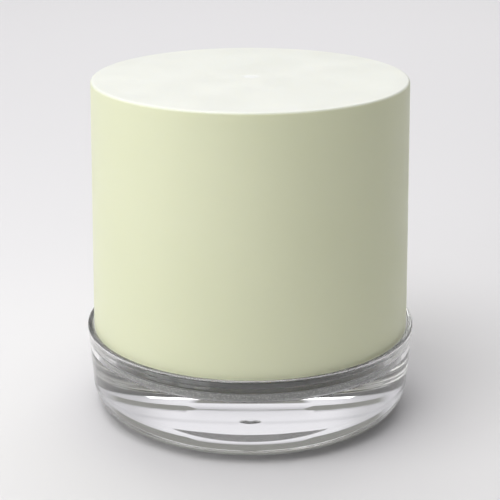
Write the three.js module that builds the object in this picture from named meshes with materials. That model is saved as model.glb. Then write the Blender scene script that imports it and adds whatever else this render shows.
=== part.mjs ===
// Pocket wet palette: a thick clear base with a shallow well, wet foam, palette paper,
// a clear clamp ring with a soft seal, and a cream cover that also serves as a rinse cup.
// Millimetres, +Z up. The origin is the centre of the underside of the base.
// Every piece is a solid of revolution about Z, drawn as a profile of radius and height.
import * as THREE from 'three';

// ---- driving dimensions -------------------------------------------------------------
const TOTAL_HEIGHT = 65.4;
const FACETS = 64;                  // flat sides round each piece

const BASE_HEIGHT = 17.0;
const RIM_RADIUS = 32.3;            // outside of the lip, at its top
const FOOT_RADIUS = 31.1;           // outer wall carried down to the underside
const FOOT_CURVE_WIDTH = 6.6;       // rounded foot, measured inwards
const FOOT_CURVE_HEIGHT = 6.3;      // rounded foot, measured upwards
const FOOT_CURVE_POWER = 2.4;       // 2 is an ellipse, more is squarer
const FOOT_RING_INNER = 22.6;       // where the flat standing ring meets the hollow
const FOOT_HOLLOW_HEIGHT = 0.15;    // rise of the underside at its centre
const LIP_EDGE_RADIUS = 0.45;
const LIP_INNER_RADIUS = 31.25;
const LEDGE_DEPTH = 2.8;            // below the lip's top
const WELL_RADIUS = 29.6;
const WELL_DEPTH = 4.8;             // below the lip's top
const WELL_FILLET = 0.4;

const STACK_GAP = 0.04;             // between pieces that lie on each other
const FOAM_RADIUS = 29.0;
const FOAM_THICKNESS = 1.7;
const FOAM_EDGE_RADIUS = 0.3;
const SHEET_RADIUS = 29.2;
const SHEET_THICKNESS = 0.2;

const FLANGE_OUTER = 31.0;
const FLANGE_INNER = 26.6;
const FLANGE_THICKNESS = 2.1;
const COLLAR_OUTER = 28.75;
const COLLAR_INNER = 27.3;
const COLLAR_HEIGHT = 7.4;          // from the underside of the flange
const RING_CHAMFER = 0.3;
const GROOVE_LOW = 4.2;             // from the underside of the flange
const GROOVE_HEIGHT = 1.2;
const GROOVE_DEPTH = 0.6;
const SEAL_SECTION_RADIUS = 0.5;

const COVER_TOP_RADIUS = 30.0;
const COVER_RIM_RADIUS = 31.02;     // outside of the cover level with the lip's top
const COVER_WALL = 1.6;
const COVER_ROOF = 2.0;
const COVER_EDGE_RADIUS = 0.55;
const COVER_INNER_FILLET = 1.5;
const COVER_MOUTH_CHAMFER = 0.25;

// ---- heights worked out from them ---------------------------------------------------
const WELL_FLOOR = BASE_HEIGHT - WELL_DEPTH;
const LEDGE = BASE_HEIGHT - LEDGE_DEPTH;
const FOAM_BOTTOM = WELL_FLOOR + STACK_GAP;
const SHEET_BOTTOM = FOAM_BOTTOM + FOAM_THICKNESS + STACK_GAP;
const FLANGE_BOTTOM = Math.max(LEDGE, SHEET_BOTTOM + SHEET_THICKNESS) + STACK_GAP;
const FLANGE_TOP = FLANGE_BOTTOM + FLANGE_THICKNESS;
const COVER_MOUTH = FLANGE_TOP + STACK_GAP;

// ---- materials ----------------------------------------------------------------------
const CLEAR_PLASTIC = { color: 0xe8eeec, roughness: 0.05, metalness: 0, transparent: true, opacity: 0.4 };
const CREAM_PLASTIC = { color: 0xe3e6cf, roughness: 0.42, metalness: 0 };
const GREY_FOAM = { color: 0x6d6f6c, roughness: 0.95, metalness: 0 };
const PALETTE_PAPER = { color: 0xf0efe6, roughness: 0.7, metalness: 0 };
const SILICONE = { color: 0xd9dcd8, roughness: 0.5, metalness: 0 };

// ---- profile helpers ----------------------------------------------------------------
// Points on a quarter or other stretch of an ellipse, ends included; angles in degrees.
function arc(centreRadius, centreHeight, halfWidth, halfHeight, fromAngle, toAngle, steps) {
  const points = [];
  for (let i = 0; i <= steps; i += 1) {
    const angle = THREE.MathUtils.degToRad(fromAngle + ((toAngle - fromAngle) * i) / steps);
    const radius = centreRadius + halfWidth * Math.cos(angle);
    const height = centreHeight + halfHeight * Math.sin(angle);
    points.push([radius, height]);
  }
  return points;
}

// The rounded foot from the standing ring up to the wall: a quarter of a rounded square.
function footCurve(steps) {
  const centreRadius = baseRadius(FOOT_CURVE_HEIGHT) - FOOT_CURVE_WIDTH;
  const power = 2 / FOOT_CURVE_POWER;
  const points = [];
  for (let i = 0; i < steps; i += 1) {
    const angle = (Math.PI / 2) * (i / steps);
    const radius = centreRadius + FOOT_CURVE_WIDTH * Math.sin(angle) ** power;
    const height = FOOT_CURVE_HEIGHT * (1 - Math.cos(angle) ** power);
    points.push([radius, height]);
  }
  points.push([centreRadius + FOOT_CURVE_WIDTH, FOOT_CURVE_HEIGHT]);
  return points;
}

// Outer radius of the cover at a height: its wall drafts inwards towards the top.
function coverRadius(height) {
  const draft = (COVER_RIM_RADIUS - COVER_TOP_RADIUS) / (TOTAL_HEIGHT - BASE_HEIGHT);
  return COVER_TOP_RADIUS + draft * (TOTAL_HEIGHT - height);
}

// Outer radius of the base's wall at a height, before the foot is rounded.
function baseRadius(height) {
  return FOOT_RADIUS + ((RIM_RADIUS - FOOT_RADIUS) * height) / BASE_HEIGHT;
}

function turned(name, profile, look) {
  const outline = profile.map(([radius, height]) => new THREE.Vector2(Math.max(radius, 0), height));
  const geometry = new THREE.LatheGeometry(outline, FACETS);
  geometry.rotateX(Math.PI / 2);
  const mesh = new THREE.Mesh(geometry, new THREE.MeshStandardMaterial(look));
  mesh.name = name;
  return mesh;
}

// ---- sub-parts ----------------------------------------------------------------------
function baseBlock() {
  const hollowSteps = 3;
  const footSteps = 10;
  const hollow = [];
  for (let i = 0; i <= hollowSteps; i += 1) {
    const share = i / hollowSteps;
    hollow.push([FOOT_RING_INNER * share, FOOT_HOLLOW_HEIGHT * (1 - share * share)]);
  }
  const lipCentre = RIM_RADIUS - LIP_EDGE_RADIUS;
  const lipCurve = BASE_HEIGHT - LIP_EDGE_RADIUS;
  const lip = arc(lipCentre, lipCurve, LIP_EDGE_RADIUS, LIP_EDGE_RADIUS, 0, 90, 3);
  const lipInside = [
    [LIP_INNER_RADIUS + LIP_EDGE_RADIUS / 2, BASE_HEIGHT],
    [LIP_INNER_RADIUS, BASE_HEIGHT - LIP_EDGE_RADIUS / 2],
    [LIP_INNER_RADIUS, LEDGE],
    [WELL_RADIUS, LEDGE],
    [WELL_RADIUS, WELL_FLOOR + WELL_FILLET],
    [WELL_RADIUS - WELL_FILLET, WELL_FLOOR],
    [0, WELL_FLOOR],
  ];
  return turned('base_block', [...hollow, ...footCurve(footSteps), ...lip, ...lipInside], CLEAR_PLASTIC);
}

function foamDisc() {
  const top = FOAM_BOTTOM + FOAM_THICKNESS;
  const edge = FOAM_RADIUS - FOAM_EDGE_RADIUS;
  const lower = arc(edge, FOAM_BOTTOM + FOAM_EDGE_RADIUS, FOAM_EDGE_RADIUS, FOAM_EDGE_RADIUS, -90, 0, 3);
  const upper = arc(edge, top - FOAM_EDGE_RADIUS, FOAM_EDGE_RADIUS, FOAM_EDGE_RADIUS, 0, 90, 3);
  return turned('foam_disc', [[0, FOAM_BOTTOM], ...lower, ...upper, [0, top]], GREY_FOAM);
}

function paletteSheet() {
  const top = SHEET_BOTTOM + SHEET_THICKNESS;
  const outline = [[0, SHEET_BOTTOM], [SHEET_RADIUS, SHEET_BOTTOM], [SHEET_RADIUS, top], [0, top]];
  return turned('palette_sheet', outline, PALETTE_PAPER);
}

function clampRing() {
  const top = FLANGE_BOTTOM + COLLAR_HEIGHT;
  const grooveLow = FLANGE_BOTTOM + GROOVE_LOW;
  const grooveHigh = grooveLow + GROOVE_HEIGHT;
  const grooveFloor = COLLAR_OUTER - GROOVE_DEPTH;
  const outline = [
    [FLANGE_INNER, FLANGE_BOTTOM],
    [FLANGE_OUTER - RING_CHAMFER, FLANGE_BOTTOM],
    [FLANGE_OUTER, FLANGE_BOTTOM + RING_CHAMFER],
    [FLANGE_OUTER, FLANGE_TOP],
    [COLLAR_OUTER, FLANGE_TOP],
    [COLLAR_OUTER, grooveLow],
    [grooveFloor, grooveLow],
    [grooveFloor, grooveHigh],
    [COLLAR_OUTER, grooveHigh],
    [COLLAR_OUTER, top - RING_CHAMFER],
    [COLLAR_OUTER - RING_CHAMFER, top],
    [COLLAR_INNER, top],
    [COLLAR_INNER, FLANGE_TOP],
    [FLANGE_INNER, FLANGE_TOP - RING_CHAMFER],
    [FLANGE_INNER, FLANGE_BOTTOM],
  ];
  return turned('clamp_ring', outline, CLEAR_PLASTIC);
}

function sealRing() {
  const centreRadius = COLLAR_OUTER - GROOVE_DEPTH + STACK_GAP + SEAL_SECTION_RADIUS;
  const centreHeight = FLANGE_BOTTOM + GROOVE_LOW + GROOVE_HEIGHT / 2;
  const section = arc(centreRadius, centreHeight, SEAL_SECTION_RADIUS, SEAL_SECTION_RADIUS, 0, 360, 10);
  section[section.length - 1] = section[0];
  return turned('seal_ring', section, SILICONE);
}

function cover() {
  const ceiling = TOTAL_HEIGHT - COVER_ROOF;
  const mouthOuter = coverRadius(COVER_MOUTH);
  const mouthInner = mouthOuter - COVER_WALL;
  const ceilingInner = coverRadius(ceiling - COVER_INNER_FILLET) - COVER_WALL;
  const edgeCentre = COVER_TOP_RADIUS - COVER_EDGE_RADIUS;
  const edgeHeight = TOTAL_HEIGHT - COVER_EDGE_RADIUS;
  const edge = arc(edgeCentre, edgeHeight, COVER_EDGE_RADIUS, COVER_EDGE_RADIUS, 0, 90, 4);
  const filletCentre = ceilingInner - COVER_INNER_FILLET;
  const filletHeight = ceiling - COVER_INNER_FILLET;
  const fillet = arc(filletCentre, filletHeight, COVER_INNER_FILLET, COVER_INNER_FILLET, 90, 0, 4);
  const outline = [
    [0, ceiling],
    ...fillet,
    [mouthInner, COVER_MOUTH + COVER_MOUTH_CHAMFER],
    [mouthInner + COVER_MOUTH_CHAMFER, COVER_MOUTH],
    [mouthOuter, COVER_MOUTH],
    ...edge,
    [0, TOTAL_HEIGHT],
  ];
  return turned('cover', outline, CREAM_PLASTIC);
}

// ---- assembly -----------------------------------------------------------------------
const palette = new THREE.Group();
palette.add(baseBlock());
palette.add(foamDisc());
palette.add(paletteSheet());

const clamp = new THREE.Group();
clamp.add(clampRing());
clamp.add(sealRing());
palette.add(clamp);

palette.add(cover());

export default palette;
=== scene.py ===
# Pocket wet palette: finished surfaces, materials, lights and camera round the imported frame.
import math

import bmesh
import bpy
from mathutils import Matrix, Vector


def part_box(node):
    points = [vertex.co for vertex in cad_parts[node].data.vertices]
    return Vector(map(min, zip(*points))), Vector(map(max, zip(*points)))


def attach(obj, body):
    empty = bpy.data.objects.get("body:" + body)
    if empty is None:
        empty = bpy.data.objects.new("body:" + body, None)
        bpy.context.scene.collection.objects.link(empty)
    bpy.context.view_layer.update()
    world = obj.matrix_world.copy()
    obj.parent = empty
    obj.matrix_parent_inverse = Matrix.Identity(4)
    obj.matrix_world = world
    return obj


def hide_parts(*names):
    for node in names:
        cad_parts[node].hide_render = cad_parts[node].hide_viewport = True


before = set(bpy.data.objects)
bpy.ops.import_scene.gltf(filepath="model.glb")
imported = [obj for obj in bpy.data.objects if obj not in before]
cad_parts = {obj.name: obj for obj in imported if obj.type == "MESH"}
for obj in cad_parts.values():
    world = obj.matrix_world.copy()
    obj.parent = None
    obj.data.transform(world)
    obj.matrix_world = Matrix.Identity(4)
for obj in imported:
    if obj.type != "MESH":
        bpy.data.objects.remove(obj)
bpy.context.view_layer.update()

MM = 0.001
RING_STEPS = 288            # sides of the fine turned pieces; a multiple of the CAD's facets
SHEET_STEPS = 192
CLEAR_BOUNCES = 48          # light turns round inside the clear base many times
SUPPORT_GAP = 0.05          # millimetres from a corner to its supporting ring
SHARP_ANGLE = 32            # degrees between faces that keep a hard edge

# ---- sizes that the frame doesn't give, in millimetres ------------------------------
FOOT_RADIUS = 31.1          # base wall carried down to the underside
FOOT_CURVE_WIDTH = 6.6
FOOT_CURVE_HEIGHT = 6.3
FOOT_CURVE_POWER = 2.4
FOOT_RING_INNER = 22.6
FOOT_HOLLOW_HEIGHT = 0.15
LIP_WALL = 1.05
LIP_EDGE_RADIUS = 0.45
LEDGE_DEPTH = 2.8
WELL_RADIUS = 29.6
WELL_DEPTH = 4.8
WELL_FILLET = 0.28
GATE_RADIUS = 1.4
GATE_DEPTH = 0.42
COVER_TOP_RADIUS = 30.0
COVER_WALL = 1.6
COVER_ROOF = 2.0
COVER_EDGE_RADIUS = 0.55
COVER_INNER_FILLET = 1.5
GATE_DIP = 0.05             # depth of the faint dip in the middle of the cover's top
GATE_DIP_MIDDLE = 0.03
MOUTH_HEIGHT = 1.0
MOUTH_FILLET = 0.22
FOAM_EDGE_RADIUS = 0.3
FOAM_DENT = 0.05            # how far the foam's rim wanders from a true circle
FOAM_DIP = 0.03             # how far its top surface undulates
PAPER_THICKNESS = 0.09
FLANGE_INNER = 26.6
FLANGE_THICKNESS = 2.1
COLLAR_OUTER = 28.75
COLLAR_INNER = 27.3
GROOVE_LOW = 4.2
GROOVE_HEIGHT = 1.2
GROOVE_DEPTH = 0.6
RING_FILLET = 0.2
FLOOR_SIZE = 3000
FLOOR_GAP = 0.02


def limits(node):
    """A node's outer radius and its lowest and highest point, in millimetres."""
    low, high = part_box(node)
    return high[0] / MM, low[2] / MM, high[2] / MM


BASE_RADIUS, BASE_LOW, BASE_HIGH = limits("base_block")
COVER_RADIUS, COVER_LOW, COVER_HIGH = limits("cover")
FOAM_RADIUS, FOAM_LOW, FOAM_HIGH = limits("foam_disc")
SHEET_RADIUS, SHEET_LOW, SHEET_HIGH = limits("palette_sheet")
RING_RADIUS, RING_LOW, RING_HIGH = limits("clamp_ring")
SEAL_RADIUS, SEAL_LOW, SEAL_HIGH = limits("seal_ring")


# ---- colours ------------------------------------------------------------------------
CREAM, CREAM_LIGHT = (0.768, 0.795, 0.555, 1), (0.785, 0.810, 0.572, 1)
TOP_LIGHT_CREAM = (0.765, 0.775, 0.715, 1)     # the cover's top, paler as painted top light
GATE_CREAM = (0.80, 0.81, 0.79, 1)          # the mark in the middle of it
# The foam's pale grey, and a darker grey painted as shade inside its pores.
FOAM_LIGHT, FOAM_PORE_SHADE = (0.80, 0.81, 0.78, 1), (0.52, 0.525, 0.51, 1)
PAPER, PAPER_DAMP = (0.90, 0.89, 0.83, 1), (0.83, 0.83, 0.78, 1)
SEAL_GREY = (0.76, 0.78, 0.76, 1)
FLOOR_GREY = (0.714, 0.704, 0.711, 1)
CLEAR = (1, 1, 1, 1)
RING_CLEAR = (0.98, 0.985, 0.98, 1)
CLEAR_INDEX = 1.49          # refraction index of acrylic
CLEAR_RIPPLE = 0.004
HAZE = 0.012                # the most that smudges roughen a polished face
ETCHED = 0.9                # roughness of the etched floor of the well

# ---- light tent: levels are brightnesses, heights are degrees above the horizon -----
TENT_EDGE = 25.0
BACKDROP_LEVEL = 0.85
BACKDROP_SIDE_SHARE = 0.70
LOW_BACK_LEVEL = 0.26
LEFT_WALL_LEVEL = 0.68
RIGHT_WALL_LEVEL = 0.46
LEFT_FRONT_SHARE = 0.5
RIGHT_FRONT_SHARE = 0.1
RIGHT_LOW_SHARE = 0.35
RIGHT_BAND_EDGE = 20.5      # above this the right wall is lit well forward too
FRONT_PANEL_LEVEL = 0.6
FRONT_PANEL_EDGE = 22.0
FRONT_RIGHT_SHARE = 0.1     # what is left of the front panel towards the right
TOP_SHARE = 0.1             # what is left of walls and front panel high up
FRONT_LEVEL = 0.05
CEILING_LEVEL = 0.8
TENT_EDGE_SOFTNESS = 0.3
SEAM_HEIGHT = 26.3
SEAM_WIDTH = 0.35
SEAM_DEPTH = 0.14
PANEL_HALF_WIDTH = 0.22
PANEL_EDGE = 22.9
HEM_END = 26.4
HEM_DEPTH = 0.32
GAP_EDGE = 29.5
GAP_DEPTH = 0.75
TENT_TINT = (0.992, 0.985, 1.02, 1)
LOW_TINT = (1.0, 1.0, 0.93, 1)


# ---- camera: lengths in radii of the cover's top, tilt in degrees, lens in mm --------
CAMERA_DISTANCE = 8.8698
CAMERA_AIM = 0.4609         # above the base's rim
CAMERA_TILT = 18.935
CAMERA_LENS = 97.3692       # on a 36 mm sensor
CAMERA_SHIFT = -0.00056


# ---- profile helpers ----------------------------------------------------------------
def arc(centre, radius, start, end, steps):
    """Points on a stretch of a circle, ends included; angles in degrees."""
    points = []
    for i in range(steps + 1):
        angle = math.radians(start + (end - start) * i / steps)
        points.append((centre[0] + radius * math.cos(angle), centre[1] + radius * math.sin(angle)))
    return points


def rounded(profile, radius, steps=4):
    """The profile with each inner corner cut back to a small curve."""
    result = [profile[0]]
    for before, corner, after in zip(profile, profile[1:], profile[2:]):
        here = Vector(corner)
        back = Vector(before) - here
        ahead = Vector(after) - here
        reach = min(radius, back.length / 2.2, ahead.length / 2.2)
        first = here + back.normalized() * reach
        last = here + ahead.normalized() * reach
        for i in range(steps + 1):
            t = i / steps
            point = first * (1 - t) ** 2 + here * 2 * t * (1 - t) + last * t ** 2
            result.append((point.x, point.y))
    result.append(profile[-1])
    return result


def supported(profile):
    """The profile with points close to the ends of each long stretch, which keep its shading flat."""
    result = [profile[0]]
    for first, last in zip(profile, profile[1:]):
        start, end = Vector(first), Vector(last)
        length = (end - start).length
        if length > 8 * SUPPORT_GAP:
            for share in (SUPPORT_GAP / length, 0.5, 1 - SUPPORT_GAP / length):
                point = start.lerp(end, share)
                result.append((point.x, point.y))
        result.append(last)
    return result


def turned(name, profile, steps=RING_STEPS, closed=False):
    """A solid of revolution about Z from a profile of (radius, height) in millimetres."""
    profile = supported(profile)
    mesh_tool = bmesh.new()
    rings = []
    points = profile[:-1] if closed else profile
    for radius, height in points:
        if radius < 1e-6:
            rings.append([mesh_tool.verts.new((0, 0, height * MM))])
            continue
        ring = []
        for i in range(steps):
            angle = 2 * math.pi * i / steps
            place = (radius * MM * math.cos(angle), radius * MM * math.sin(angle), height * MM)
            ring.append(mesh_tool.verts.new(place))
        rings.append(ring)
    if closed:
        rings.append(rings[0])
    for low, high in zip(rings, rings[1:]):
        for i in range(steps):
            j = (i + 1) % steps
            if len(low) == 1 and len(high) == 1:
                continue
            if len(low) == 1:
                mesh_tool.faces.new((low[0], high[j], high[i]))
            elif len(high) == 1:
                mesh_tool.faces.new((low[i], low[j], high[0]))
            else:
                mesh_tool.faces.new((low[i], low[j], high[j], high[i]))
    bmesh.ops.recalc_face_normals(mesh_tool, faces=mesh_tool.faces)
    mesh = bpy.data.meshes.new(name)
    mesh_tool.to_mesh(mesh)
    mesh_tool.free()
    for polygon in mesh.polygons:
        polygon.use_smooth = True
    mesh.set_sharp_from_angle(angle=math.radians(SHARP_ANGLE))
    piece = bpy.data.objects.new(name, mesh)
    bpy.context.scene.collection.objects.link(piece)
    return piece


def finish_piece(piece, material, body, slot, *nodes):
    """Give the piece its material and body, and hide the CAD nodes it stands for; the finish slot is
    not used.
    """
    piece.data.materials.append(material)
    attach(piece, body)
    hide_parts(*nodes)


# ---- material helpers ---------------------------------------------------------------
class Nodes:
    """A new material with short calls for adding and joining its nodes."""

    def __init__(self, name):
        self.material = bpy.data.materials.new(name)
        self.material.use_nodes = True
        self.tree = self.material.node_tree
        self.shader = self.tree.nodes["Principled BSDF"]
        self.place = self.add("ShaderNodeTexCoord").outputs["Object"]

    def add(self, kind, **settings):
        node = self.tree.nodes.new(kind)
        for key, value in settings.items():
            setattr(node, key, value)
        return node

    def join(self, source, target):
        self.tree.links.new(source, target)

    def set(self, **values):
        for key, value in values.items():
            self.shader.inputs[key.replace("_", " ")].default_value = value

    def noise(self, scale, detail=3.0, roughness=0.5, source=None):
        node = self.add("ShaderNodeTexNoise")
        node.inputs["Scale"].default_value = scale
        node.inputs["Detail"].default_value = detail
        node.inputs["Roughness"].default_value = roughness
        self.join(source or self.place, node.inputs["Vector"])
        return node.outputs["Fac"]

    def stretch(self, x, y, z):
        node = self.add("ShaderNodeMapping")
        node.inputs["Scale"].default_value = (x, y, z)
        self.join(self.place, node.inputs["Vector"])
        return node.outputs["Vector"]

    def ramp(self, source, low, high, from_value, to_value):
        node = self.add("ShaderNodeMapRange")
        node.inputs["From Min"].default_value = low
        node.inputs["From Max"].default_value = high
        node.inputs["To Min"].default_value = from_value
        node.inputs["To Max"].default_value = to_value
        self.join(source, node.inputs["Value"])
        return node.outputs["Result"]

    def math(self, operation, first, second):
        node = self.add("ShaderNodeMath", operation=operation)
        for socket, value in zip(node.inputs, (first, second)):
            if isinstance(value, (int, float)):
                socket.default_value = value
            else:
                self.join(value, socket)
        return node.outputs["Value"]

    def mix(self, factor, first, second):
        node = self.add("ShaderNodeMix", data_type="RGBA")
        self.join(factor, node.inputs["Factor"])
        for socket, value in (("A", first), ("B", second)):
            target = [s for s in node.inputs if s.name == socket and s.type == "RGBA"][0]
            if isinstance(value, tuple):
                target.default_value = value
            else:
                self.join(value, target)
        return [s for s in node.outputs if s.type == "RGBA"][0]

    def bump(self, height, strength, distance, under=None):
        node = self.add("ShaderNodeBump")
        node.inputs["Strength"].default_value = strength
        node.inputs["Distance"].default_value = distance
        self.join(height, node.inputs["Height"])
        if under is not None:
            self.join(under, node.inputs["Normal"])
        return node.outputs["Normal"]


def clear_plastic(name, tint, frost=0.0):
    """Clear moulding: faint flow ripples, hairline scratches and smudges; frost makes it matt."""
    nodes = Nodes(name)
    nodes.set(Base_Color=tint, Roughness=0.0, IOR=CLEAR_INDEX, Transmission_Weight=1.0)
    waves = nodes.noise(55.0, detail=1.0)
    rippled = nodes.bump(waves, CLEAR_RIPPLE, 0.0004)
    scratch_lines = nodes.noise(900.0, detail=2.0, source=nodes.stretch(1.0, 0.05, 0.3))
    scratches = nodes.ramp(scratch_lines, 0.70, 0.76, 0.0, 1.0)
    scratched = nodes.bump(scratches, 0.02, 0.00001, under=rippled)
    nodes.join(scratched, nodes.shader.inputs["Normal"])
    smudge = nodes.noise(70.0, detail=4.0)
    haze = nodes.ramp(smudge, 0.58, 0.78, frost, frost + HAZE)
    nodes.join(haze, nodes.shader.inputs["Roughness"])
    return nodes.material


def cream_plastic():
    """Satin moulded cover: fine spark texture, slow random tone variation, and painted top light that
    makes the top paler.
    """
    nodes = Nodes("cream_moulded_plastic")
    nodes.set(Roughness=0.4, IOR=1.5, Subsurface_Weight=0.12, Subsurface_Scale=0.0015)
    nodes.shader.inputs["Subsurface Radius"].default_value = (1.0, 0.9, 0.6)
    cloud = nodes.noise(40.0, detail=3.0)
    shade = nodes.ramp(cloud, 0.35, 0.65, 0.0, 1.0)
    colour = nodes.mix(shade, CREAM, CREAM_LIGHT)
    split = nodes.add("ShaderNodeSeparateXYZ")
    nodes.join(nodes.place, split.inputs[0])
    # Painted top light: the top is mixed towards a paler cream where the top light washes it out.
    pale_from, pale_to = (COVER_HIGH - 0.45) * MM, (COVER_HIGH - 0.05) * MM
    painted_top_light = nodes.ramp(split.outputs["Z"], pale_from, pale_to, 0.0, 1.0)
    square_x = nodes.math("MULTIPLY", split.outputs["X"], split.outputs["X"])
    square_y = nodes.math("MULTIPLY", split.outputs["Y"], split.outputs["Y"])
    off_axis = nodes.math("SQRT", nodes.math("ADD", square_x, square_y), 0.0)
    at_gate = nodes.ramp(off_axis, 0.7 * GATE_RADIUS * MM, 1.5 * GATE_RADIUS * MM, 1.0, 0.0)
    top_colour = nodes.mix(at_gate, TOP_LIGHT_CREAM, GATE_CREAM)
    colour = nodes.mix(painted_top_light, colour, top_colour)
    nodes.join(colour, nodes.shader.inputs["Base Color"])
    grain = nodes.noise(2600.0, detail=2.0)
    orange = nodes.noise(420.0, detail=2.0)
    under = nodes.bump(orange, 0.06, 0.0001)
    top = nodes.bump(grain, 0.10, 0.00003, under=under)
    nodes.join(top, nodes.shader.inputs["Normal"])
    gloss = nodes.ramp(nodes.noise(160.0, detail=4.0), 0.35, 0.7, 0.36, 0.46)
    nodes.join(gloss, nodes.shader.inputs["Roughness"])
    return nodes.material


def grey_foam():
    """Open-cell foam: small pores from a cell pattern, with painted shade darkening each pore."""
    nodes = Nodes("damp_grey_foam")
    nodes.set(Roughness=0.85)
    cells = nodes.add("ShaderNodeTexVoronoi", feature="F1")
    cells.inputs["Scale"].default_value = 2600.0
    nodes.join(nodes.place, cells.inputs["Vector"])
    # Painted shade: each pore is darkened towards the pore grey.
    pore_shade = nodes.ramp(cells.outputs["Distance"], 0.10, 0.55, 0.0, 1.0)
    colour = nodes.mix(pore_shade, FOAM_LIGHT, FOAM_PORE_SHADE)
    nodes.join(colour, nodes.shader.inputs["Base Color"])
    lumps = nodes.noise(500.0, detail=4.0)
    under = nodes.bump(lumps, 0.4, 0.0002)
    top = nodes.bump(cells.outputs["Distance"], 0.6, 0.0003, under=under)
    nodes.join(top, nodes.shader.inputs["Normal"])
    damp = nodes.ramp(nodes.noise(90.0), 0.4, 0.6, 0.6, 0.95)
    nodes.join(damp, nodes.shader.inputs["Roughness"])
    return nodes.material


def palette_paper():
    """Semi-transparent paper: fibres, faint damp blotches, soft sheen."""
    nodes = Nodes("palette_paper")
    nodes.set(Roughness=0.55, IOR=1.45, Transmission_Weight=0.25)
    fibres = nodes.noise(1400.0, detail=6.0, roughness=0.7, source=nodes.stretch(1.0, 0.25, 1.0))
    blotch = nodes.noise(120.0, detail=3.0)
    colour = nodes.mix(nodes.ramp(blotch, 0.4, 0.6, 0.0, 1.0), PAPER, PAPER_DAMP)
    nodes.join(colour, nodes.shader.inputs["Base Color"])
    nodes.join(nodes.bump(fibres, 0.25, 0.00005), nodes.shader.inputs["Normal"])
    return nodes.material


def silicone():
    """Soft translucent seal: powdery surface with slight depth."""
    nodes = Nodes("soft_silicone")
    nodes.set(Base_Color=SEAL_GREY, IOR=1.41, Subsurface_Weight=0.5, Subsurface_Scale=0.0012)
    powder = nodes.noise(1500.0, detail=3.0)
    nodes.join(nodes.bump(powder, 0.15, 0.00003), nodes.shader.inputs["Normal"])
    gloss = nodes.ramp(nodes.noise(200.0), 0.3, 0.7, 0.42, 0.6)
    nodes.join(gloss, nodes.shader.inputs["Roughness"])
    return nodes.material


def pale_floor():
    """A plain pale paper roll."""
    nodes = Nodes("pale_floor")
    nodes.set(Base_Color=FLOOR_GREY, Roughness=0.7)
    paper = nodes.noise(300.0, detail=4.0)
    nodes.join(nodes.bump(paper, 0.03, 0.0001), nodes.shader.inputs["Normal"])
    return nodes.material


# ---- pieces -------------------------------------------------------------------------
def base_wall(height):
    """Radius of the base's slightly drafted wall at a height."""
    share = (height - BASE_LOW) / (BASE_HIGH - BASE_LOW)
    return FOOT_RADIUS + (BASE_RADIUS - FOOT_RADIUS) * share


def make_base(material, etched):
    """The solid clear base, from its gate mark underneath round to the floor of the well."""
    hollow = []
    rings = 12
    for i in range(rings + 1):
        share = i / rings
        hollow.append((FOOT_RING_INNER * share, FOOT_HOLLOW_HEIGHT * (1 - share * share)))
    gate = [(GATE_RADIUS * across, GATE_DEPTH * deep)
            for across, deep in ((0, 1), (0.35, 1), (0.6, 0.9), (0.85, 0.55))]
    gate += [(GATE_RADIUS, FOOT_HOLLOW_HEIGHT), (GATE_RADIUS + 2 * SUPPORT_GAP, FOOT_HOLLOW_HEIGHT)]
    centre = base_wall(FOOT_CURVE_HEIGHT) - FOOT_CURVE_WIDTH
    power = 2 / FOOT_CURVE_POWER
    foot = []
    steps = 48
    for i in range(steps + 1):
        angle = math.pi / 2 * i / steps
        radius = centre + FOOT_CURVE_WIDTH * max(math.sin(angle), 0) ** power
        height = FOOT_CURVE_HEIGHT * (1 - max(math.cos(angle), 0) ** power)
        foot.append((radius, height))
    edge = LIP_EDGE_RADIUS
    lip = arc((BASE_RADIUS - edge, BASE_HIGH - edge), edge, 0, 90, 8)
    lip_inner = BASE_RADIUS - LIP_WALL
    inside = arc((lip_inner + edge * 0.6, BASE_HIGH - edge * 0.6), edge * 0.6, 90, 180, 6)
    floor = BASE_HIGH - WELL_DEPTH
    ledge = BASE_HIGH - LEDGE_DEPTH
    well = rounded([(lip_inner, BASE_HIGH - edge), (lip_inner, ledge), (WELL_RADIUS, ledge),
                    (WELL_RADIUS, floor), (0, floor)], WELL_FILLET)
    profile = gate + hollow[1:] + foot + lip + inside + well
    piece = turned("base_body", profile)
    finish_piece(piece, material, "base", "clear_base", "base_block")
    piece.data.materials.append(etched)
    tolerance = 0.01
    for polygon in piece.data.polygons:
        on_well_floor = abs(polygon.center.z / MM - floor) < tolerance
        polygon.material_index = int(on_well_floor)
    return piece


def make_cover(material):
    """The cover: a drafted cup, mouth down, with a shallow gate dip in the middle of its top."""
    roof = COVER_HIGH - COVER_ROOF
    top_radius = COVER_TOP_RADIUS
    drop = COVER_HIGH - COVER_LOW

    def wall(height):
        return top_radius + (COVER_RADIUS - top_radius) * (COVER_HIGH - height) / drop

    mouth = COVER_RADIUS - COVER_WALL
    inner_top = wall(roof) - COVER_WALL
    fillet = COVER_INNER_FILLET
    inner = [(0, roof)] + arc((inner_top - fillet, roof - fillet), fillet, 90, 0, 8)
    mouth_top = COVER_LOW + MOUTH_HEIGHT
    mouth_edge = rounded([(mouth, mouth_top), (mouth, COVER_LOW), (COVER_RADIUS, COVER_LOW),
                          (wall(mouth_top), mouth_top)], MOUTH_FILLET)
    edge = COVER_EDGE_RADIUS
    shoulder = arc((top_radius - edge, COVER_HIGH - edge), edge, 0, 90, 10)
    middle = COVER_HIGH - GATE_DIP_MIDDLE
    gate_dip = [(GATE_RADIUS * 1.2, COVER_HIGH), (GATE_RADIUS * 0.8, COVER_HIGH - GATE_DIP),
                (GATE_RADIUS * 0.5, middle), (0, middle)]
    rings = [(r, COVER_HIGH) for r in (24.0, 12.0, 4.0)]
    profile = inner + mouth_edge + shoulder + rings + gate_dip
    piece = turned("cover_shell", profile)
    finish_piece(piece, material, "cover", "cream_cover", "cover")
    return piece


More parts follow.
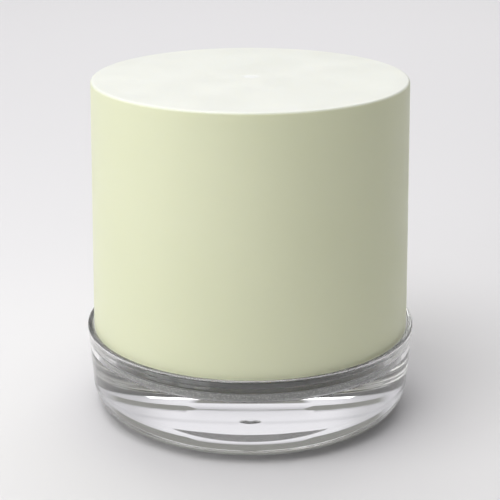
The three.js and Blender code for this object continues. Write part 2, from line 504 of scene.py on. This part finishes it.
def make_foam(material):
    """The foam disc, with a slightly uneven rim and top."""
    edge = FOAM_EDGE_RADIUS
    radii = [FOAM_RADIUS * i / 24 for i in range(1, 24)]
    radii = [r for r in radii if r < FOAM_RADIUS - 2 * edge]
    low = [(0, FOAM_LOW)] + [(r, FOAM_LOW) for r in radii]
    high = [(r, FOAM_HIGH) for r in reversed(radii)] + [(0, FOAM_HIGH)]
    side = arc((FOAM_RADIUS - edge, FOAM_LOW + edge), edge, -90, 0, 4)
    side += [(FOAM_RADIUS, FOAM_LOW + 2 * edge), (FOAM_RADIUS, FOAM_HIGH - 2 * edge)]
    side += arc((FOAM_RADIUS - edge, FOAM_HIGH - edge), edge, 0, 90, 4)
    piece = turned("foam_pad", low + side + high, steps=SHEET_STEPS)
    for vertex in piece.data.vertices:
        place = vertex.co
        radius = math.hypot(place.x, place.y) / MM
        if radius < 1:
            continue
        angle = math.atan2(place.y, place.x)
        dent = FOAM_DENT * (1 + math.sin(7 * angle + 1.3) * math.sin(3 * angle))
        share = (radius / FOAM_RADIUS) ** 6
        place.x *= 1 - dent * share / radius
        place.y *= 1 - dent * share / radius
        ripple = math.sin(place.x / MM * 0.9 + 0.5) * math.sin(place.y / MM * 0.8)
        middle = (FOAM_LOW + FOAM_HIGH) / 2 * MM
        if place.z > middle:
            place.z -= (FOAM_DIP + FOAM_DIP * ripple) * MM
    finish_piece(piece, material, "foam", "grey_foam", "foam_disc")
    return piece


def make_sheet(material):
    """The palette paper, laid on the foam with a faint wave."""
    thickness = PAPER_THICKNESS
    radii = [SHEET_RADIUS * i / 36 for i in range(1, 37)]
    low = [(0, 0)] + [(r, 0) for r in radii]
    high = [(r, thickness) for r in reversed(radii)] + [(0, thickness)]
    piece = turned("palette_paper_sheet", low + high, steps=SHEET_STEPS)
    slack = (SHEET_HIGH - SHEET_LOW - thickness) / 2
    for vertex in piece.data.vertices:
        place = vertex.co
        x, y = place.x / MM, place.y / MM
        wave = math.sin(0.31 * x + 0.22 * y) * math.cos(0.17 * x - 0.35 * y + 0.8)
        wave += 0.3 * math.sin(0.9 * x - 0.4 * y + 2.0)
        place.z += (SHEET_LOW + slack + slack * wave / 1.35) * MM
    finish_piece(piece, material, "sheet", "palette_paper", "palette_sheet")
    return piece


def make_ring(material):
    """The clamp ring: a flange on the paper and a collar with a groove for the seal."""
    top_of_flange = RING_LOW + FLANGE_THICKNESS
    groove = RING_LOW + GROOVE_LOW
    groove_floor = COLLAR_OUTER - GROOVE_DEPTH
    middle = (FLANGE_INNER + RING_RADIUS) / 2
    outline = [
        (middle, RING_LOW), (RING_RADIUS, RING_LOW), (RING_RADIUS, top_of_flange),
        (COLLAR_OUTER, top_of_flange), (COLLAR_OUTER, groove), (groove_floor, groove),
        (groove_floor, groove + GROOVE_HEIGHT), (COLLAR_OUTER, groove + GROOVE_HEIGHT),
        (COLLAR_OUTER, RING_HIGH), (COLLAR_INNER, RING_HIGH), (COLLAR_INNER, top_of_flange),
        (FLANGE_INNER, top_of_flange), (FLANGE_INNER, RING_LOW), (middle, RING_LOW),
    ]
    piece = turned("clamp_ring_clear", rounded(outline, RING_FILLET), closed=True)
    finish_piece(piece, material, "ring", "clear_ring", "clamp_ring")
    return piece


def make_seal(material):
    """The round soft ring in the collar's groove."""
    section = (SEAL_HIGH - SEAL_LOW) / 2
    centre = (SEAL_RADIUS - section, (SEAL_HIGH + SEAL_LOW) / 2)
    outline = arc(centre, section, 0, 360, 24)
    piece = turned("seal_o_ring", outline, closed=True)
    finish_piece(piece, material, "ring", "silicone", "seal_ring")
    return piece


# ---- surroundings -------------------------------------------------------------------
def make_floor():
    """A plain floor, a hair below the base so that the two never coincide."""
    height = (BASE_LOW - FLOOR_GAP) * MM
    bpy.ops.mesh.primitive_plane_add(size=FLOOR_SIZE * MM, location=(0, 0, height))
    floor = bpy.context.object
    floor.name = "floor"
    floor.data.materials.append(pale_floor())


def soft_box(name, place, size, power, tint=(1, 1, 1), aim=(0, 0, 0.03)):
    """A rectangular area light turned towards a point."""
    light = bpy.data.lights.new(name, "AREA")
    light.shape = "RECTANGLE"
    light.size, light.size_y = size
    light.energy = power
    light.color = tint
    holder = bpy.data.objects.new(name, light)
    bpy.context.scene.collection.objects.link(holder)
    holder.location = place
    reach = Vector(aim) - Vector(place)
    holder.rotation_euler = reach.to_track_quat("-Z", "Y").to_euler()


def make_world():
    """A light tent: bright backdrop, side walls, front panel and ceiling, grey low down."""
    world = bpy.data.worlds.new("tent")
    bpy.context.scene.world = world
    world.use_nodes = True
    tree = world.node_tree
    background = tree.nodes["Background"]

    def add(kind, **settings):
        node = tree.nodes.new(kind)
        for key, value in settings.items():
            setattr(node, key, value)
        return node

    def step(source, low, high, first, second):
        node = add("ShaderNodeMapRange", interpolation_type="SMOOTHSTEP")
        ends = (("From Min", low), ("From Max", high), ("To Min", first), ("To Max", second))
        for key, value in ends:
            node.inputs[key].default_value = value
        tree.links.new(source, node.inputs["Value"])
        return node.outputs["Result"]

    def combine(operation, first, second):
        node = add("ShaderNodeMath", operation=operation)
        for socket, value in zip(node.inputs, (first, second)):
            if isinstance(value, (int, float)):
                socket.default_value = value
            else:
                tree.links.new(value, socket)
        return node.outputs["Value"]

    def product(first, *others):
        for other in others:
            first = combine("MULTIPLY", first, other)
        return first

    # The three parts of a unit direction: up is the sine of the height above the horizon.
    direction = add("ShaderNodeTexCoord").outputs["Generated"]
    split = add("ShaderNodeSeparateXYZ")
    tree.links.new(direction, split.inputs[0])
    across, along, up = split.outputs["X"], split.outputs["Y"], split.outputs["Z"]

    def sine(degrees):
        return math.sin(math.radians(degrees))

    sideways = combine("ABSOLUTE", across, 0.0)
    # The backdrop's lit part starts lower in the middle, where a panel hangs.
    middle = step(sideways, PANEL_HALF_WIDTH - 0.03, PANEL_HALF_WIDTH + 0.03, 1.0, 0.0)
    height = combine("ADD", up, combine("MULTIPLY", middle, sine(TENT_EDGE) - sine(PANEL_EDGE)))
    lit_from, lit_to = sine(TENT_EDGE - TENT_EDGE_SOFTNESS), sine(TENT_EDGE + TENT_EDGE_SOFTNESS)
    lit = step(height, lit_from, lit_to, 0.0, 1.0)
    into_seam = step(up, sine(SEAM_HEIGHT - SEAM_WIDTH), sine(SEAM_HEIGHT), 0.0, SEAM_DEPTH)
    out_of_seam = step(up, sine(SEAM_HEIGHT), sine(SEAM_HEIGHT + SEAM_WIDTH), 0.0, SEAM_DEPTH)
    seam = combine("SUBTRACT", 1.0, combine("SUBTRACT", into_seam, out_of_seam))
    behind = step(along, -0.3, 0.2, 0.0, 1.0)
    fading = step(up, 0.70, 0.90, BACKDROP_LEVEL, 0.3 * BACKDROP_LEVEL)
    sides = step(sideways, 0.28, 0.55, 1.0, BACKDROP_SIDE_SHARE)
    gap_shade = step(up, sine(GAP_EDGE - 0.7), sine(GAP_EDGE + 0.7), 0.0, GAP_DEPTH)
    gap = combine("SUBTRACT", 1.0, combine("MULTIPLY", middle, gap_shade))
    hem_shade = step(up, sine(PANEL_EDGE), sine(HEM_END), HEM_DEPTH, 0.0)
    hem = combine("SUBTRACT", 1.0, combine("MULTIPLY", middle, hem_shade))
    backdrop = product(lit, seam, behind, fading, sides, gap, hem)
    # The left wall is lit well forward; the right one is dim low down and mostly dim in front.
    left = product(step(across, -0.75, -0.50, LEFT_WALL_LEVEL, 0.0),
                   step(along, 0.0, 0.4, LEFT_FRONT_SHARE, 1.0))
    right_back = product(step(along, 0.0, 0.4, RIGHT_FRONT_SHARE, 1.0),
                         step(up, 0.10, 0.25, RIGHT_LOW_SHARE, 1.0))
    right_band = product(step(along, -0.45, -0.1, 0.0, 1.0),
                         step(up, sine(RIGHT_BAND_EDGE - 1), sine(RIGHT_BAND_EDGE + 1), 0.0, 1.0))
    right = product(step(across, 0.50, 0.75, 0.0, RIGHT_WALL_LEVEL),
                    combine("MAXIMUM", right_back, right_band))
    walls = product(combine("ADD", left, right), step(up, 0.50, 0.60, 1.0, TOP_SHARE))
    front = product(step(along, -0.5, -0.2, FRONT_PANEL_LEVEL, 0.0),
                    step(across, 0.35, 0.65, 1.0, FRONT_RIGHT_SHARE),
                    step(up, sine(FRONT_PANEL_EDGE - 1), sine(FRONT_PANEL_EDGE + 1), 0.0, 1.0),
                    step(up, 0.52, 0.60, 1.0, TOP_SHARE))
    low = combine("MAXIMUM", step(along, -0.2, 0.2, FRONT_LEVEL, LOW_BACK_LEVEL), front)
    ceiling = step(up, 0.75, 0.85, 0.0, CEILING_LEVEL)
    level = combine("MAXIMUM", combine("MAXIMUM", backdrop, walls), combine("MAXIMUM", low, ceiling))
    tree.links.new(level, background.inputs["Strength"])
    tint = add("ShaderNodeMix", data_type="RGBA")
    tree.links.new(step(level, LOW_BACK_LEVEL, 2 * LOW_BACK_LEVEL, 0.0, 1.0), tint.inputs["Factor"])
    ends = [socket for socket in tint.inputs if socket.type == "RGBA"]
    ends[0].default_value = LOW_TINT
    ends[1].default_value = TENT_TINT
    result = [socket for socket in tint.outputs if socket.type == "RGBA"][0]
    tree.links.new(result, background.inputs["Color"])


def set_light_paths():
    """Light runs round inside the clear base many times before it leaves it."""
    cycles = bpy.context.scene.cycles
    cycles.max_bounces = CLEAR_BOUNCES
    cycles.glossy_bounces = CLEAR_BOUNCES
    cycles.transmission_bounces = CLEAR_BOUNCES


def make_camera():
    """The view of the photograph: distances follow the size of the pot."""
    top_radius = COVER_TOP_RADIUS * MM
    distance = CAMERA_DISTANCE * top_radius
    tilt = math.radians(CAMERA_TILT)
    aim_height = BASE_HIGH * MM + CAMERA_AIM * top_radius
    camera = bpy.data.cameras.new("camera")
    camera.sensor_width = 36
    camera.lens = CAMERA_LENS
    camera.shift_x = CAMERA_SHIFT
    camera.clip_start = 0.01
    holder = bpy.data.objects.new("camera", camera)
    bpy.context.scene.collection.objects.link(holder)
    holder.location = (0, -distance * math.cos(tilt), aim_height + distance * math.sin(tilt))
    holder.rotation_euler = (math.pi / 2 - tilt, 0, 0)
    bpy.context.scene.camera = holder
    bpy.context.scene.view_settings.view_transform = "Standard"


set_light_paths()
make_camera()
make_base(clear_plastic("clear_block", CLEAR),
          clear_plastic("clear_block_etched", CLEAR, frost=ETCHED))
make_foam(grey_foam())
make_sheet(palette_paper())
make_ring(clear_plastic("clear_ring", RING_CLEAR))
make_seal(silicone())
make_cover(cream_plastic())
make_floor()
make_world()
soft_box("overhead", (-0.14, -0.15, 0.48), (0.30, 0.30), 1.22)
soft_box("left", (-0.42, -0.12, 0.22), (0.20, 0.26), 0.34, (0.985, 1.0, 0.98))
soft_box("left_front", (-0.29, -0.30, 0.28), (0.20, 0.20), 0.31)
soft_box("background", (0.0, 0.55, 0.60), (0.9, 0.4), 2.6, aim=(0.0, 0.50, 0.0))
